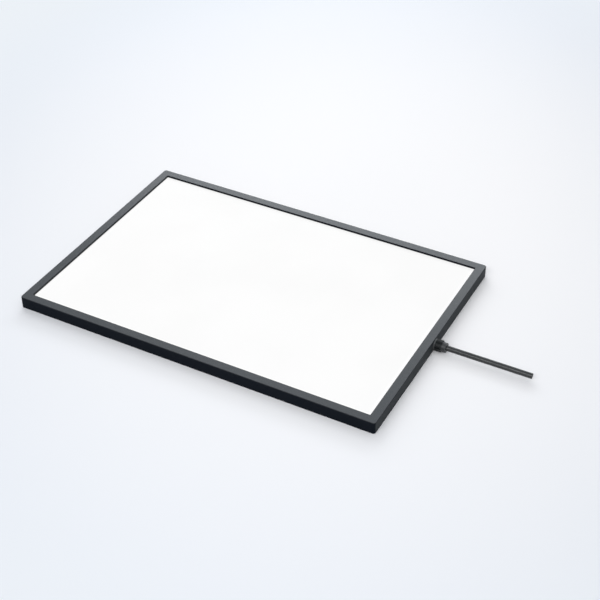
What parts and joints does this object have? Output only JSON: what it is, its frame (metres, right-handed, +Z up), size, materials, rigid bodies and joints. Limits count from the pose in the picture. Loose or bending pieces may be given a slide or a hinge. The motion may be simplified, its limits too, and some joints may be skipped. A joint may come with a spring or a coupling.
{
  "type": "led backlight panel",
  "caption": "Flat rectangular LED backlight: a thin dark metal frame around a white lit window, with a short cable that leaves a short side through a fluted gland.",
  "frame": {"origin": "middle of the flat rear face, which the panel lies on", "axes": "+X along the length towards the cable gland, +Y across the width, +Z up out of the lit window"},
  "size_m": [0.5909, 0.322, 0.0156],
  "materials": {
    "frame_black": "bead-blasted, anodised black",
    "screw_black": "black oxide steel",
    "insert_steel": "zinc plated",
    "diffuser_opal": "matte opal acrylic, lit from behind",
    "foam_black": "black foam strip",
    "film_white": "frosted film",
    "guide_acrylic": "clear polished acrylic",
    "sheet_white": "white reflective film",
    "foam_grey": "closed-cell foam sheet",
    "silicone_grey": "silicone",
    "board_white": "white solder mask on aluminium",
    "led_phosphor": "white package with yellow phosphor",
    "resistor_black": "glazed chip",
    "tape_grey": "thermal adhesive tape",
    "screw_steel": "zinc plated",
    "connector_white": "nylon",
    "core_insulation": "coloured core insulation",
    "seal_rubber": "black rubber",
    "gland_nylon": "black moulded nylon",
    "ring_steel": "plain steel",
    "cable_jacket": "matte dark grey cable jacket"
  },
  "bodies": {
    "panel": {"front_frame": "frame_black", "rear_cover": "frame_black", "cover_screws": "screw_black", "mount_inserts": "insert_steel", "diffuser_plate": "diffuser_opal", "bezel_gasket": "foam_black", "diffuser_film": "film_white", "light_guide": "guide_acrylic", "edge_reflectors": "sheet_white", "reflector_sheet": "sheet_white", "foam_backing": "foam_grey", "guide_bumpers": "silicone_grey", "led_board_near_left": "board_white", "led_board_near_right": "board_white", "led_board_far_left": "board_white", "led_board_far_right": "board_white", "leds_near": "led_phosphor", "leds_far": "led_phosphor", "board_resistors": "resistor_black", "thermal_tape_near": "tape_grey", "thermal_tape_far": "tape_grey", "board_screws": "screw_steel", "connector_near": "connector_white", "connector_far": "connector_white", "jumper_wires": "core_insulation", "lead_wires_near": "core_insulation", "lead_wires_far": "core_insulation", "gland_gasket": "seal_rubber", "gland_body": "gland_nylon", "gland_seal": "seal_rubber", "cable_sheath": "cable_jacket", "cable_lead": "cable_jacket"},
    "thrust_ring": {"gland_thrust_ring": "ring_steel"},
    "nut": {"gland_nut": "gland_nylon"}
  },
  "joints": [
    {"name": "gland_nut_travel", "type": "slide", "parent": "panel", "child": "thrust_ring", "axis": [1, 0, 0], "range_m": [0, 0.003]},
    {"name": "gland_nut_turn", "type": "hinge", "parent": "thrust_ring", "child": "nut", "pos_m": [0.2445, 0, 0.0078], "axis": [1, 0, 0], "range_deg": [0, 720]}
  ],
  "couplings": [
    {"joint": "gland_nut_turn", "follows": "gland_nut_travel", "rad_per_m": 4188.8}
  ]
}
